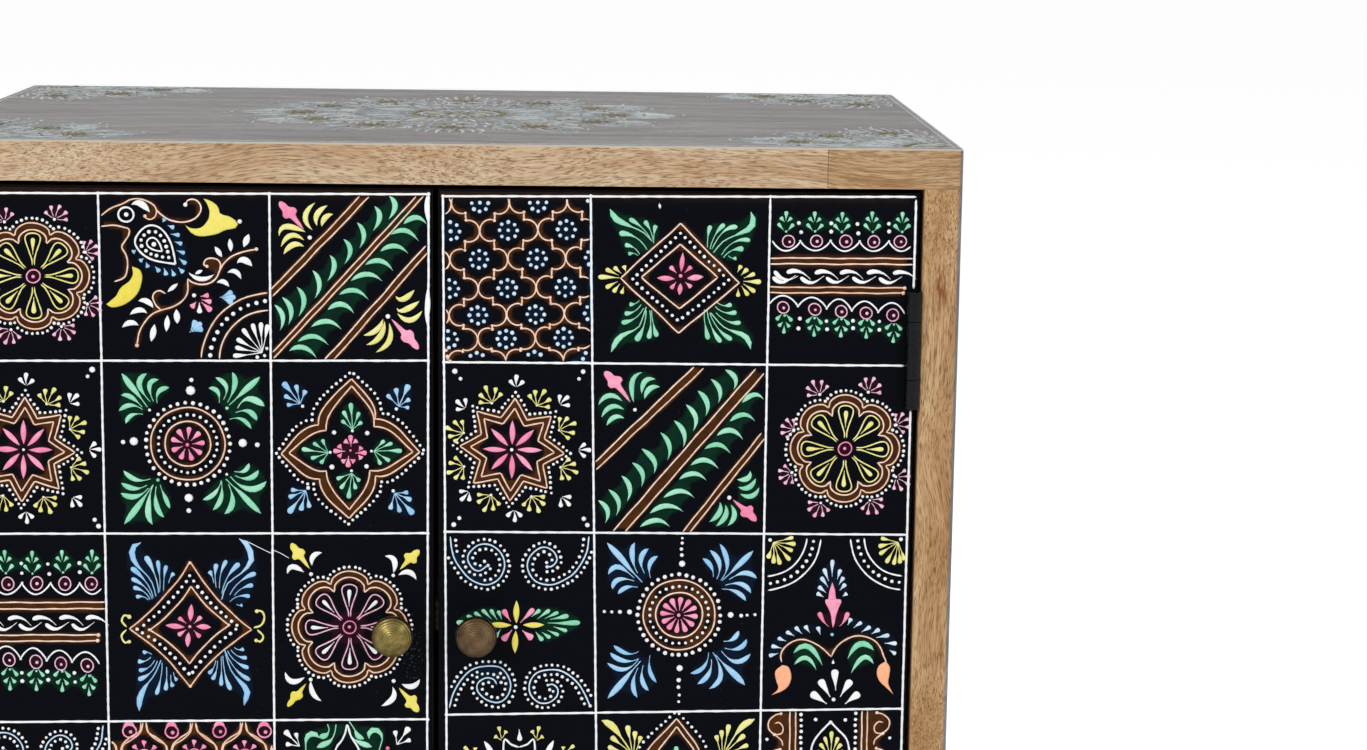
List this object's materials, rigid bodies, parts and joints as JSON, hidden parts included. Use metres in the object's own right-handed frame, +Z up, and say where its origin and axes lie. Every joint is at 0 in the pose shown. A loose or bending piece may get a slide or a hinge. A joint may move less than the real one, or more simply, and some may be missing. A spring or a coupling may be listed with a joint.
{
  "type": "two-door nightstand",
  "caption": "Mango wood bedside cabinet on tapered legs, with inset painted doors on butt hinges, magnetic catches and a shelf.",
  "frame": {"origin": "middle of the footprint at floor level", "axes": "+Z up, +X to the right and -Y out of the doors' fronts"},
  "size_m": [0.45, 0.319, 0.6],
  "materials": {
    "mango_wood": "oiled solid mango",
    "grey_stained_mango": "grey wash stain, satin",
    "black_painted_wood": "brushed black paint, satin",
    "birch_plywood": "sanded plywood",
    "beech_dowel": "bare beech",
    "turned_brass": "turned, aged",
    "black_painted_steel": "brushed black paint over steel",
    "zinc_plated_steel": "zinc plated",
    "dark_plastic": "moulded",
    "ferrite_magnet": "sintered"
  },
  "bodies": {
    "carcass": {"top_board": "grey_stained_mango", "left_side_board": "grey_stained_mango", "right_side_board": "grey_stained_mango", "bottom_board": "mango_wood", "back_panel": "birch_plywood", "back_panel_screws": "zinc_plated_steel", "inner_shelf": "mango_wood", "shelf_pegs": "zinc_plated_steel", "top_dowels": "beech_dowel", "bottom_dowels": "beech_dowel", "front_left_leg": "mango_wood", "front_right_leg": "mango_wood", "rear_left_leg": "mango_wood", "rear_right_leg": "mango_wood", "leg_hanger_bolts": "zinc_plated_steel", "leg_insert_nuts": "zinc_plated_steel", "leg_glides": "dark_plastic", "catch_screws": "zinc_plated_steel", "left_catch_housing": "dark_plastic", "left_catch_magnet": "ferrite_magnet", "left_upper_frame_leaf": "black_painted_steel", "left_lower_frame_leaf": "black_painted_steel", "left_upper_hinge_pin": "black_painted_steel", "left_lower_hinge_pin": "black_painted_steel", "left_frame_leaf_screws": "zinc_plated_steel", "right_catch_housing": "dark_plastic", "right_catch_magnet": "ferrite_magnet", "right_upper_frame_leaf": "black_painted_steel", "right_lower_frame_leaf": "black_painted_steel", "right_upper_hinge_pin": "black_painted_steel", "right_lower_hinge_pin": "black_painted_steel", "right_frame_leaf_screws": "zinc_plated_steel"},
    "left_door": {"left_door_panel": "black_painted_wood", "left_upper_door_leaf": "black_painted_steel", "left_lower_door_leaf": "black_painted_steel", "left_door_leaf_screws": "zinc_plated_steel", "left_knob": "turned_brass", "left_knob_screw": "zinc_plated_steel", "left_knob_washer": "zinc_plated_steel", "left_strike_plate": "zinc_plated_steel", "left_strike_screw": "zinc_plated_steel"},
    "right_door": {"right_door_panel": "black_painted_wood", "right_upper_door_leaf": "black_painted_steel", "right_lower_door_leaf": "black_painted_steel", "right_door_leaf_screws": "zinc_plated_steel", "right_knob": "turned_brass", "right_knob_screw": "zinc_plated_steel", "right_knob_washer": "zinc_plated_steel", "right_strike_plate": "zinc_plated_steel", "right_strike_screw": "zinc_plated_steel"}
  },
  "joints": [
    {"name": "left_door_hinge", "type": "hinge", "parent": "carcass", "child": "left_door", "pos_m": [-0.2052, -0.1415, 0.388], "axis": [0, 0, -1], "range_deg": [0, 180]},
    {"name": "right_door_hinge", "type": "hinge", "parent": "carcass", "child": "right_door", "pos_m": [0.2052, -0.1415, 0.388], "axis": [0, 0, 1], "range_deg": [0, 180]}
  ]
}
